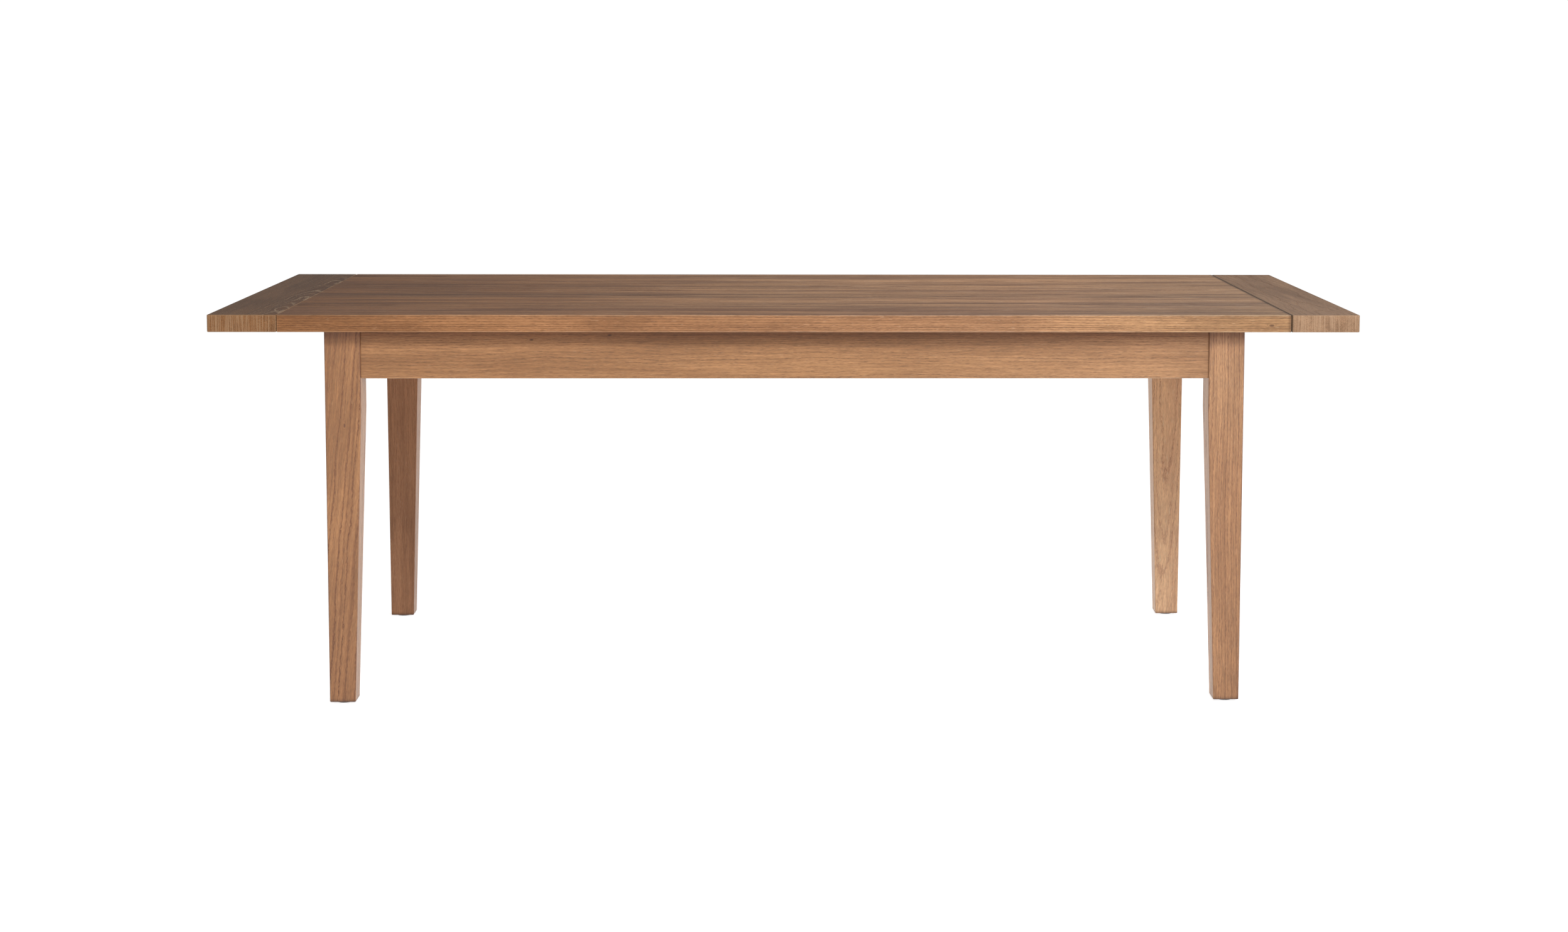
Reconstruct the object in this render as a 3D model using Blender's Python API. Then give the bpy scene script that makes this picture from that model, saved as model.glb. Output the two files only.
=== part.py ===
"""Extendable dining table: oak top with two pull-out end boards, and two leaves stored under the top.

Units are metres, +Z is up, X runs along the table and -Y is the front. The origin is on the floor,
under the middle of the top. Each end board rides on two steel runners that slide in grooved rails
under the top. A leaf, stored flat between the rails, drops into the gap that the end board leaves.
"""
import math

import bmesh
import bpy
from mathutils import Matrix, Vector

# Driving dimensions
LENGTH = 2.200
DEPTH = 0.960
HEIGHT = 0.765
TOP_THICKNESS = 0.033
END_BOARD_WIDTH = 0.131
END_SEAM = 0.001
LEG_INSET_X = 0.213
LEG_INSET_Y = 0.048
LEG_TOP = 0.069
LEG_FOOT = 0.050
TAPER_START = 0.575
APRON_HEIGHT = 0.095
APRON_THICKNESS = 0.024
APRON_SETBACK = 0.004
LEAF_WIDTH = 0.400
PULL_OUT = 0.420
GAP = 0.0003

# Glue lines of the main top, from the front edge to the back edge
PLANK_EDGES = (-0.480, -0.345, -0.213, -0.112, -0.010, 0.115, 0.237, 0.360, 0.480)

# Rounding of edges
TOP_ARRIS = 0.0015
END_CORNER = 0.004
LEG_ARRIS = 0.002
APRON_ARRIS = 0.0015
SMALL_ARRIS = 0.001

# Joints and fittings
TENON_LENGTH = 0.012
TENON_THICKNESS = 0.010
TENON_HEIGHT = 0.060
TENON_RISE = 0.015
BRACE_HOUSING = 0.022
BRACE_THICKNESS = 0.026
BRACE_HEIGHT = 0.070
BRACE_RISE = 0.013
BOLT_RADIUS = 0.004
BOLT_START = 0.035
BOLT_LENGTH = 0.078
WASHER_RADIUS = 0.011
WASHER_THICKNESS = 0.002
NUT_RADIUS = 0.0075
NUT_THICKNESS = 0.0065
GLIDE_RADIUS = 0.016
GLIDE_THICKNESS = 0.003
GLIDE_EASING = 0.0008
GLIDE_PIN_RADIUS = 0.0025
GLIDE_PIN_LENGTH = 0.015
DOWEL_RADIUS = 0.004
DOWEL_DEPTH = 0.015
DOWEL_REACH = 0.014
TOP_DOWEL_Y = 0.300
END_DOWEL_Y = 0.165
BUTTON_WIDTH = 0.040
BUTTON_LENGTH = 0.040
BUTTON_THICKNESS = 0.020
BUTTON_TONGUE = 0.007
BUTTON_GROOVE_DEPTH = 0.007
BUTTON_STATIONS = {"left": -0.550, "middle": 0.0, "right": 0.550}

# Sliding parts
RUNNER_WIDTH = 0.040
RUNNER_HEIGHT = 0.020
RUNNER_WALL = 0.002
RUNNER_PLAY = 0.0008
RUNNER_INNER_X = 0.120
RUNNER_OUTER_X = 1.073
RUNNER_LANE_Y = 0.245
STOP_PIN_X = 0.400
STOP_PIN_RADIUS = 0.004
STOP_HEAD_RADIUS = 0.007
STOP_HEAD_HEIGHT = 0.004
CAP_FLANGE = 0.002
CAP_PLUG_LENGTH = 0.012
LEAF_PLAY = 0.001
LEAF_PROUD = 0.006
LEDGE_DEPTH = 0.014
UPPER_LEDGE = 0.007
LOWER_LEDGE = 0.012
RAIL_SHELF = 0.0114
RAIL_LIP = 0.012

# Levels and lines worked out from the driving dimensions
UNDERSIDE = HEIGHT - TOP_THICKNESS
MID_TOP_Z = HEIGHT - TOP_THICKNESS / 2
MAIN_HALF = LENGTH / 2 - END_BOARD_WIDTH - END_SEAM
END_INNER_X = LENGTH / 2 - END_BOARD_WIDTH
LEG_X = LENGTH / 2 - LEG_INSET_X
LEG_Y = DEPTH / 2 - LEG_INSET_Y
LEG_BOTTOM = GLIDE_THICKNESS + GAP
FRAME_TOP = UNDERSIDE - GAP
APRON_BOTTOM = UNDERSIDE - APRON_HEIGHT
APRON_INNER = APRON_SETBACK + APRON_THICKNESS
TENON_LOW = APRON_BOTTOM + TENON_RISE
TENON_HIGH = TENON_LOW + TENON_HEIGHT
TENON_FACE = APRON_SETBACK + (APRON_THICKNESS - TENON_THICKNESS) / 2
BRACE_LOW = APRON_BOTTOM + BRACE_RISE
BOLT_Z = BRACE_LOW + BRACE_HEIGHT / 2
BUTTON_LOW = FRAME_TOP - BUTTON_THICKNESS
RUNNER_TOP = UNDERSIDE - GAP
RUNNER_LOW = RUNNER_TOP - RUNNER_HEIGHT
GROOVE_FLOOR = RUNNER_LOW - RUNNER_PLAY
LANE_IN = RUNNER_LANE_Y - RUNNER_WIDTH / 2 - 0.0005
LANE_OUT = RUNNER_LANE_Y + RUNNER_WIDTH / 2 + 0.0005
UPPER_LEAF_TOP = UNDERSIDE - LEAF_PLAY
UPPER_LEAF_LOW = UPPER_LEAF_TOP - TOP_THICKNESS
UPPER_LEDGE_LOW = UPPER_LEAF_LOW - GAP - UPPER_LEDGE
LOWER_LEAF_TOP = UPPER_LEDGE_LOW - LEAF_PLAY
LOWER_LEAF_LOW = LOWER_LEAF_TOP - TOP_THICKNESS
RAIL_LOW = LOWER_LEAF_LOW - GAP - LOWER_LEDGE
BAY_HALF = LEAF_WIDTH / 2 + LEAF_PLAY
LEAF_OUTER_X = LEG_X + LEAF_PROUD

SIDES = {"left": -1, "right": 1}
FACES = {"front": -1, "back": 1}


# ---------------------------------------------------------------- helpers

def clear_scene():
    for obj in list(bpy.data.objects):
        bpy.data.objects.remove(obj, do_unlink=True)


def make_material(name, colour, roughness, metallic=0.0):
    material = bpy.data.materials.new(name)
    material.use_nodes = True
    shader = material.node_tree.nodes["Principled BSDF"]
    shader.inputs["Base Color"].default_value = (*colour, 1.0)
    shader.inputs["Roughness"].default_value = roughness
    shader.inputs["Metallic"].default_value = metallic
    return material


def new_object(name, mesh_data, material=None, smooth=False):
    """An object from a bmesh, with its faces pointing outwards."""
    bmesh.ops.recalc_face_normals(mesh_data, faces=mesh_data.faces)
    mesh = bpy.data.meshes.new(name)
    mesh_data.to_mesh(mesh)
    mesh_data.free()
    obj = bpy.data.objects.new(name, mesh)
    bpy.context.scene.collection.objects.link(obj)
    if material:
        mesh.materials.append(material)
    if smooth:
        mesh.shade_smooth()
        mesh.set_sharp_from_angle(angle=math.radians(30))
    return obj


def add_box(mesh_data, low, high):
    size = Vector(high) - Vector(low)
    centre = (Vector(high) + Vector(low)) / 2
    matrix = Matrix.Translation(centre) @ Matrix.Diagonal((*size, 1.0))
    bmesh.ops.create_cube(mesh_data, size=1.0, matrix=matrix)


def add_prism(mesh_data, outline, axis, start, end):
    """Extrudes an outline of (u, v) points along X or Z. Along X, u is Y and v is Z."""
    def point(u, v, w):
        return (w, u, v) if axis == "X" else (u, v, w)

    lower = [mesh_data.verts.new(point(u, v, start)) for u, v in outline]
    upper = [mesh_data.verts.new(point(u, v, end)) for u, v in outline]
    mesh_data.faces.new(lower)
    mesh_data.faces.new(reversed(upper))
    for i in range(len(outline)):
        j = (i + 1) % len(outline)
        mesh_data.faces.new((lower[i], lower[j], upper[j], upper[i]))


def add_rod(mesh_data, start, end, radius, sides=16):
    """A round or six-sided bar between two points."""
    start = Vector(start)
    along = Vector(end) - start
    turn = along.to_track_quat("Z", "Y").to_matrix().to_4x4()
    matrix = Matrix.Translation(start + along / 2) @ turn
    bmesh.ops.create_cone(mesh_data, cap_ends=True, segments=sides, radius1=radius, radius2=radius,
                          depth=along.length, matrix=matrix)


def round_edges(mesh_data, radius, wanted, segments=3):
    """Rounds the edges for which wanted(first point, second point) is true."""
    bmesh.ops.recalc_face_normals(mesh_data, faces=mesh_data.faces)
    edges = [e for e in mesh_data.edges if wanted(e.verts[0].co, e.verts[1].co)]
    bmesh.ops.bevel(mesh_data, geom=edges, offset=radius, offset_type="OFFSET", segments=segments,
                    profile=0.5, affect="EDGES", clamp_overlap=False)


def close_to(a, b):
    return abs(a - b) < 1e-5


def every_edge(first, second):
    return True


def runs_along(axis):
    """A test for edges that run along one axis, 0 for X, 1 for Y and 2 for Z."""
    def test(first, second):
        return all(close_to(first[i], second[i]) for i in range(3) if i != axis)
    return test


def lies_on(axis, value):
    """A test for edges that lie in one plane across an axis."""
    def test(first, second):
        return close_to(first[axis], value) and close_to(second[axis], value)
    return test


def combine(name, target, shapes, operation):
    """Cuts shapes from the target or joins them to it. shapes is a bmesh that stays as a hidden cutter."""
    tool = new_object(name, shapes)
    tool.hide_render = True
    tool.display_type = "WIRE"
    tool.parent = target
    modifier = target.modifiers.new(name, "BOOLEAN")
    modifier.operation = operation
    modifier.solver = "EXACT"
    modifier.object = tool


def cut(name, target, shapes):
    combine(name, target, shapes, "DIFFERENCE")


def join(name, target, shapes):
    combine(name, target, shapes, "UNION")


def plain_box(name, low, high, radius, material, wanted=every_edge, segments=2):
    shape = bmesh.new()
    add_box(shape, low, high)
    if radius:
        round_edges(shape, radius, wanted, segments)
    return new_object(name, shape, material)


def ordered(a, b):
    return (min(a, b), max(a, b))


def mirrored_box(mesh_data, sx, sy, x_range, y_range, z_range):
    """Adds a box whose X and Y ranges are given on the positive side, moved to the side of sx and sy."""
    x_low, x_high = ordered(sx * x_range[0], sx * x_range[1])
    y_low, y_high = ordered(sy * y_range[0], sy * y_range[1])
    add_box(mesh_data, (x_low, y_low, z_range[0]), (x_high, y_high, z_range[1]))


# ---------------------------------------------------------------- legs

def corner_point(sx, sy, a, b, z):
    """a and b are measured inwards from the leg's two outer faces."""
    return Vector((sx * (LEG_X - a), sy * (LEG_Y - b), z))


def leg_section(mesh_data, sx, sy, side, z):
    corners = ((0, 0), (side, 0), (side, side), (0, side))
    return [mesh_data.verts.new(corner_point(sx, sy, a, b, z)) for a, b in corners]


def bolt_line(sx, sy, distance):
    """A point on the leg bolt's axis, which runs along the corner's diagonal."""
    start = corner_point(sx, sy, BOLT_START, BOLT_START, BOLT_Z)
    inward = Vector((-sx, -sy, 0)).normalized()
    return start + inward * distance


def make_leg(place, sx, sy, material):
    """A square leg, plumb on its outer faces and tapered on its two inner faces below the apron."""
    shape = bmesh.new()
    foot_side = LEG_FOOT + (LEG_TOP - LEG_FOOT) * LEG_BOTTOM / TAPER_START
    levels = ((foot_side, LEG_BOTTOM), (LEG_TOP, TAPER_START), (LEG_TOP, FRAME_TOP))
    rings = [leg_section(shape, sx, sy, side, z) for side, z in levels]
    shape.faces.new(rings[0])
    shape.faces.new(rings[-1])
    for below, above in zip(rings, rings[1:]):
        for i in range(4):
            j = (i + 1) % 4
            shape.faces.new((below[i], below[j], above[j], above[i]))

    def arris(first, second):
        on_top = close_to(first.z, FRAME_TOP) and close_to(second.z, FRAME_TOP)
        at_taper = close_to(first.z, TAPER_START) and close_to(second.z, TAPER_START)
        return not on_top and not at_taper

    round_edges(shape, LEG_ARRIS, arris)
    leg = new_object(f"leg_{place}", shape, material)

    sockets = bmesh.new()
    along = (LEG_X - LEG_TOP - 0.001, LEG_X - LEG_TOP + TENON_LENGTH + GAP)
    across = (LEG_Y - TENON_FACE - TENON_THICKNESS - GAP, LEG_Y - TENON_FACE + GAP)
    mirrored_box(sockets, sx, sy, along, across, (TENON_LOW - GAP, TENON_HIGH + GAP))
    along = (LEG_X - TENON_FACE - TENON_THICKNESS - GAP, LEG_X - TENON_FACE + GAP)
    across = (LEG_Y - LEG_TOP - 0.001, LEG_Y - LEG_TOP + TENON_LENGTH + GAP)
    mirrored_box(sockets, sx, sy, along, across, (TENON_LOW - GAP, TENON_HIGH + GAP))
    cut(f"mortises_{place}", leg, sockets)

    housing = bmesh.new()
    far = LEG_TOP + 0.010
    near = LEG_TOP - BRACE_HOUSING - 0.010
    triangle = [corner_point(sx, sy, a, b, 0).xy for a, b in ((far, near), (far, far), (near, far))]
    add_prism(housing, triangle, "Z", BRACE_LOW - 0.005, FRAME_TOP + 0.005)
    cut(f"brace_housing_{place}", leg, housing)

    bores = bmesh.new()
    add_rod(bores, bolt_line(sx, sy, -GAP), bolt_line(sx, sy, BOLT_LENGTH), BOLT_RADIUS + GAP)
    middle = LEG_X - foot_side / 2
    pin_top = GLIDE_THICKNESS + GLIDE_PIN_LENGTH + GAP
    centre_y = LEG_Y - foot_side / 2
    add_rod(bores, (sx * middle, sy * centre_y, 0), (sx * middle, sy * centre_y, pin_top),
            GLIDE_PIN_RADIUS + GAP, sides=12)
    cut(f"bores_{place}", leg, bores)


def make_glide(place, sx, sy, material):
    """A low round glide with a pin that is driven into the foot of the leg."""
    foot_side = LEG_FOOT + (LEG_TOP - LEG_FOOT) * LEG_BOTTOM / TAPER_START
    x = sx * (LEG_X - foot_side / 2)
    y = sy * (LEG_Y - foot_side / 2)
    shape = bmesh.new()
    add_rod(shape, (x, y, 0), (x, y, GLIDE_THICKNESS), GLIDE_RADIUS, sides=24)
    round_edges(shape, GLIDE_EASING, lies_on(2, 0.0), segments=1)
    glide = new_object(f"foot_glide_{place}", shape, material, smooth=True)
    pin = bmesh.new()
    add_rod(pin, (x, y, GLIDE_THICKNESS / 2), (x, y, GLIDE_THICKNESS + GLIDE_PIN_LENGTH),
            GLIDE_PIN_RADIUS, sides=12)
    join(f"glide_pin_{place}", glide, pin)


# ---------------------------------------------------------------- frame

def make_long_apron(face, sy, material):
    """A front or back apron with a stub tenon at each end and a groove for the tabletop buttons."""
    half = LEG_X - LEG_TOP - GAP
    outer = LEG_Y - APRON_SETBACK
    inner = LEG_Y - APRON_INNER
    y_low, y_high = ordered(sy * outer, sy * inner)
    apron = plain_box(f"apron_{face}", (-half, y_low, APRON_BOTTOM), (half, y_high, FRAME_TOP),
                      APRON_ARRIS, material, lies_on(2, APRON_BOTTOM), segments=3)
    tenon_outer = LEG_Y - TENON_FACE
    for side, sx in SIDES.items():
        tenon = bmesh.new()
        mirrored_box(tenon, sx, sy, (half - 0.005, half + TENON_LENGTH),
                     (tenon_outer - TENON_THICKNESS, tenon_outer), (TENON_LOW, TENON_HIGH))
        join(f"tenon_{face}_{side}", apron, tenon)
    groove = bmesh.new()
    mirrored_box(groove, 1, sy, (-half - 0.02, half + 0.02), (inner - 0.002, inner + BUTTON_GROOVE_DEPTH),
                 (BUTTON_LOW - 2 * GAP, BUTTON_LOW + BUTTON_TONGUE + 2 * GAP))
    cut(f"button_groove_{face}", apron, groove)


def make_end_apron(side, sx, material):
    """An end apron with a notch for each runner and an opening for the leaf stored at this end."""
    half = LEG_Y - LEG_TOP - GAP
    outer = LEG_X - APRON_SETBACK
    inner = LEG_X - APRON_INNER
    x_low, x_high = ordered(sx * outer, sx * inner)
    apron = plain_box(f"apron_{side}", (x_low, -half, APRON_BOTTOM), (x_high, half, FRAME_TOP),
                      APRON_ARRIS, material, lies_on(2, APRON_BOTTOM), segments=3)
    tenon_outer = LEG_X - TENON_FACE
    for face, sy in FACES.items():
        tenon = bmesh.new()
        mirrored_box(tenon, sx, sy, (tenon_outer - TENON_THICKNESS, tenon_outer),
                     (half - 0.005, half + TENON_LENGTH), (TENON_LOW, TENON_HIGH))
        join(f"tenon_{side}_{face}", apron, tenon)
    openings = bmesh.new()
    through = (inner - 0.005, outer + 0.005)
    for sy in FACES.values():
        mirrored_box(openings, sx, sy, through, (LANE_IN, LANE_OUT), (GROOVE_FLOOR, HEIGHT))
    if side == "left":
        opening_z = (UPPER_LEAF_LOW - LEAF_PLAY, HEIGHT)
    else:
        opening_z = (LOWER_LEAF_LOW - LEAF_PLAY, LOWER_LEAF_TOP + LEAF_PLAY)
    mirrored_box(openings, sx, 1, through, (-BAY_HALF, BAY_HALF), opening_z)
    cut(f"apron_openings_{side}", apron, openings)


def make_corner_brace(place, sx, sy, material):
    """A diagonal block, mitred to bear on both aprons, that the leg bolt pulls against."""
    near = APRON_INNER + GAP
    outer_sum = 2 * LEG_TOP - BRACE_HOUSING + GAP * math.sqrt(2)
    inner_sum = outer_sum + BRACE_THICKNESS * math.sqrt(2)
    corners = ((outer_sum - near, near), (inner_sum - near, near),
               (near, inner_sum - near), (near, outer_sum - near))
    outline = [corner_point(sx, sy, a, b, 0).xy for a, b in corners]
    shape = bmesh.new()
    add_prism(shape, outline, "Z", BRACE_LOW, BRACE_LOW + BRACE_HEIGHT)
    round_edges(shape, SMALL_ARRIS, every_edge, segments=2)
    brace = new_object(f"corner_brace_{place}", shape, material)
    bore = bmesh.new()
    add_rod(bore, bolt_line(sx, sy, 0), bolt_line(sx, sy, BOLT_LENGTH + 0.02), BOLT_RADIUS + 2 * GAP)
    cut(f"brace_bore_{place}", brace, bore)


def make_leg_bolt(place, sx, sy, material):
    """A hanger bolt from the leg through the brace, with its washer and nut."""
    brace_face = (2 * LEG_TOP - BRACE_HOUSING) / math.sqrt(2) + GAP + BRACE_THICKNESS
    washer_start = brace_face - BOLT_START * math.sqrt(2) + GAP
    washer_end = washer_start + WASHER_THICKNESS
    shape = bmesh.new()
    add_rod(shape, bolt_line(sx, sy, 0), bolt_line(sx, sy, BOLT_LENGTH), BOLT_RADIUS)
    bolt = new_object(f"leg_bolt_{place}", shape, material, smooth=True)
    washer = bmesh.new()
    add_rod(washer, bolt_line(sx, sy, washer_start), bolt_line(sx, sy, washer_end), WASHER_RADIUS)
    join(f"washer_{place}", bolt, washer)
    nut = bmesh.new()
    add_rod(nut, bolt_line(sx, sy, washer_end - GAP), bolt_line(sx, sy, washer_end + NUT_THICKNESS),
            NUT_RADIUS, sides=6)
    join(f"nut_{place}", bolt, nut)


def make_button(face, station, sy, x, material):
    """A wooden button whose tongue holds the top down on a long apron."""
    apron_face = LEG_Y - APRON_INNER - GAP
    y_low, y_high = ordered(sy * apron_face, sy * (apron_face - BUTTON_LENGTH))
    button = plain_box(f"top_button_{face}_{station}", (x - BUTTON_WIDTH / 2, y_low, BUTTON_LOW),
                       (x + BUTTON_WIDTH / 2, y_high, FRAME_TOP), SMALL_ARRIS, material)
    tongue = bmesh.new()
    mirrored_box(tongue, 1, sy, (x - BUTTON_WIDTH / 2 + 0.002, x + BUTTON_WIDTH / 2 - 0.002),
                 (apron_face - 0.005, apron_face + BUTTON_GROOVE_DEPTH - GAP),
                 (BUTTON_LOW + GAP, BUTTON_LOW + BUTTON_TONGUE))
    join(f"button_tongue_{face}_{station}", button, tongue)


def rail_outline(sy):
    """Cross-section of a rail: two leaf ledges on its inner side, the runner's groove on its outer side."""
    ledge = BAY_HALF - LEDGE_DEPTH
    upper_top = UPPER_LEAF_LOW - GAP
    lower_top = LOWER_LEAF_LOW - GAP
    shelf_low = GROOVE_FLOOR - RAIL_SHELF
    points = (
        (ledge, RAIL_LOW), (LANE_IN, RAIL_LOW),
        (LANE_IN, shelf_low), (LANE_OUT + RAIL_LIP, shelf_low),
        (LANE_OUT + RAIL_LIP, FRAME_TOP), (LANE_OUT, FRAME_TOP),
        (LANE_OUT, GROOVE_FLOOR), (LANE_IN, GROOVE_FLOOR),
        (LANE_IN, FRAME_TOP), (BAY_HALF, FRAME_TOP),
        (BAY_HALF, upper_top), (ledge, upper_top),
        (ledge, UPPER_LEDGE_LOW), (BAY_HALF, UPPER_LEDGE_LOW),
        (BAY_HALF, lower_top), (ledge, lower_top),
    )
    return [(sy * y, z) for y, z in points]


def make_rail(face, sy, material):
    """A grooved rail under the top, which guides one runner from each end and carries both leaves."""
    half = LEG_X - APRON_INNER - GAP
    shape = bmesh.new()
    add_prism(shape, rail_outline(sy), "X", -half, half)
    rail = new_object(f"slide_rail_{face}", shape, material)
    slots = bmesh.new()
    reach = STOP_PIN_RADIUS + 0.0005
    for sx in SIDES.values():
        mirrored_box(slots, sx, sy, (STOP_PIN_X - reach, STOP_PIN_X + PULL_OUT + reach),
                     (RUNNER_LANE_Y - reach, RUNNER_LANE_Y + reach),
                     (GROOVE_FLOOR - RAIL_SHELF - 0.002, GROOVE_FLOOR + 0.002))
    cut(f"stop_slots_{face}", rail, slots)


# ---------------------------------------------------------------- top

def add_dowel_bores(mesh_data, sx, face_x, inward, positions):
    """Bores along X from the face at face_x, going inward by the dowel's depth."""
    for y in positions:
        start = sx * (face_x - inward * 0.002)
        end = sx * (face_x + inward * (DOWEL_DEPTH + 2 * GAP))
        add_rod(mesh_data, (start, y, MID_TOP_Z), (end, y, MID_TOP_Z), DOWEL_RADIUS + GAP)


def make_plank(index, y_front, y_back, material):
    """One board of the main top. Only edges that show are rounded, not the glued ones."""
    is_front = index == 0
    is_back = index == len(PLANK_EDGES) - 2
    low = (-MAIN_HALF, y_front if is_front else y_front + GAP / 2, UNDERSIDE)
    high = (MAIN_HALF, y_back if is_back else y_back - GAP / 2, HEIGHT)

    def shows(first, second):
        at_end = lies_on(0, low[0])(first, second) or lies_on(0, high[0])(first, second)
        if at_end:
            upright = runs_along(2)(first, second)
            if not upright:
                return True
            y = first.y
            return (is_front and close_to(y, low[1])) or (is_back and close_to(y, high[1]))
        return ((is_front and lies_on(1, low[1])(first, second))
                or (is_back and lies_on(1, high[1])(first, second)))

    shape = bmesh.new()
    add_box(shape, low, high)
    round_edges(shape, TOP_ARRIS, shows)
    plank = new_object(f"top_plank_{index + 1}", shape, material)
    dowel_lines = (-TOP_DOWEL_Y, -END_DOWEL_Y, END_DOWEL_Y, TOP_DOWEL_Y)
    positions = [y for y in dowel_lines if y_front < y < y_back]
    if positions:
        bores = bmesh.new()
        for sx in SIDES.values():
            add_dowel_bores(bores, sx, MAIN_HALF, -1, positions)
        cut(f"plank_bores_{index + 1}", plank, bores)


def make_end_board(side, sx, material):
    """A pull-out end board, with its grain across the table."""
    x_low, x_high = ordered(sx * END_INNER_X, sx * LENGTH / 2)
    shape = bmesh.new()
    add_box(shape, (x_low, -DEPTH / 2, UNDERSIDE), (x_high, DEPTH / 2, HEIGHT))
    outer_x = sx * LENGTH / 2

    def outer_corner(first, second):
        return runs_along(2)(first, second) and close_to(first.x, outer_x)

    def other_edge(first, second):
        flat = close_to(first.z, second.z)
        return flat or close_to(first.x, sx * END_INNER_X)

    round_edges(shape, END_CORNER, outer_corner, segments=4)
    round_edges(shape, TOP_ARRIS, other_edge)
    board = new_object(f"end_board_{side}", shape, material)
    bores = bmesh.new()
    positions = (-TOP_DOWEL_Y, -END_DOWEL_Y, END_DOWEL_Y, TOP_DOWEL_Y)
    add_dowel_bores(bores, sx, END_INNER_X, 1, positions)
    cut(f"end_bores_{side}", board, bores)


def make_dowel(name, sx, y, inner_x, outer_x, material):
    """A locating dowel along X with eased ends."""
    shape = bmesh.new()
    add_rod(shape, (sx * inner_x, y, MID_TOP_Z), (sx * outer_x, y, MID_TOP_Z), DOWEL_RADIUS)

    def rim(first, second):
        return close_to(first.x, second.x)

    round_edges(shape, SMALL_ARRIS, rim, segments=1)
    new_object(name, shape, material, smooth=True)


def make_dowels(side, sx, material):
    """Two dowels fixed in the main top and two fixed in the end board, at different places."""
    for face, sy in FACES.items():
        make_dowel(f"top_dowel_{side}_{face}", sx, sy * TOP_DOWEL_Y, MAIN_HALF - DOWEL_DEPTH,
                   MAIN_HALF + DOWEL_REACH, material)
        make_dowel(f"end_dowel_{side}_{face}", sx, sy * END_DOWEL_Y, END_INNER_X - DOWEL_REACH,
                   END_INNER_X + DOWEL_DEPTH, material)


def make_leaf(level, sx, z_low, material):
    """A leaf in its stored place: its length lies along the table, and its outer end stands a little proud."""
    x_low, x_high = ordered(sx * LEAF_OUTER_X, sx * (LEAF_OUTER_X - DEPTH))
    half = LEAF_WIDTH / 2
    leaf = plain_box(f"leaf_{level}", (x_low, -half, z_low), (x_high, half, z_low + TOP_THICKNESS),
                     TOP_ARRIS, material)
    centre = (x_low + x_high) / 2
    mid = z_low + TOP_THICKNESS / 2
    bores = bmesh.new()
    for offset in (-TOP_DOWEL_Y, -END_DOWEL_Y, END_DOWEL_Y, TOP_DOWEL_Y):
        for sy in FACES.values():
            add_rod(bores, (centre + offset, sy * (half + 0.002), mid),
                    (centre + offset, sy * (half - DOWEL_DEPTH - 2 * GAP), mid), DOWEL_RADIUS + GAP)
    cut(f"leaf_bores_{level}", leaf, bores)


# ---------------------------------------------------------------- slides

def rounded_outline(centre, width, height, radius, steps=3):
    """Outline of a rectangle with round corners, anticlockwise."""
    points = []
    corners = ((1, 1, 0), (-1, 1, 90), (-1, -1, 180), (1, -1, 270))
    for cx, cz, first_angle in corners:
        for step in range(steps + 1):
            angle = math.radians(first_angle + 90 * step / steps)
            u = centre[0] + cx * (width / 2 - radius) + radius * math.cos(angle)
            v = centre[1] + cz * (height / 2 - radius) + radius * math.sin(angle)
            points.append((u, v))
    return points


def make_runner(side, face, sx, sy, material):
    """A rectangular steel tube that slides in the rail and carries the end board."""
    centre = (sy * RUNNER_LANE_Y, (RUNNER_TOP + RUNNER_LOW) / 2)
    outer = rounded_outline(centre, RUNNER_WIDTH, RUNNER_HEIGHT, 0.003)
    inner = rounded_outline(centre, RUNNER_WIDTH - 2 * RUNNER_WALL, RUNNER_HEIGHT - 2 * RUNNER_WALL, 0.0012)
    shape = bmesh.new()
    rings = []
    for outline in (outer, inner):
        for x in (RUNNER_INNER_X, RUNNER_OUTER_X):
            rings.append([shape.verts.new((sx * x, y, z)) for y, z in outline])
    outer_near, outer_far, inner_near, inner_far = rings
    for i in range(len(outer)):
        j = (i + 1) % len(outer)
        for one, two in ((outer_near, outer_far), (outer_far, inner_far),
                         (inner_far, inner_near), (inner_near, outer_near)):
            shape.faces.new((one[i], one[j], two[j], two[i]))
    runner = new_object(f"runner_{side}_{face}", shape, material, smooth=True)
    bore = bmesh.new()
    x = sx * STOP_PIN_X
    y = sy * RUNNER_LANE_Y
    add_rod(bore, (x, y, RUNNER_LOW - 0.002), (x, y, RUNNER_LOW + RUNNER_WALL + 0.002),
            STOP_PIN_RADIUS + GAP)
    cut(f"pin_bore_{side}_{face}", runner, bore)


def make_stop_pin(side, face, sx, sy, material):
    """A shouldered pin under the runner that travels in the rail's slot and ends the pull."""
    x = sx * STOP_PIN_X
    y = sy * RUNNER_LANE_Y
    shelf_low = GROOVE_FLOOR - RAIL_SHELF
    head_top = shelf_low - LEAF_PLAY
    shape = bmesh.new()
    add_rod(shape, (x, y, head_top - STOP_HEAD_HEIGHT), (x, y, head_top), STOP_HEAD_RADIUS)
    pin = new_object(f"stop_pin_{side}_{face}", shape, material, smooth=True)
    shank = bmesh.new()
    add_rod(shank, (x, y, head_top - GAP), (x, y, RUNNER_LOW + RUNNER_WALL + 0.003), STOP_PIN_RADIUS)
    join(f"stop_shank_{side}_{face}", pin, shank)


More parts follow.
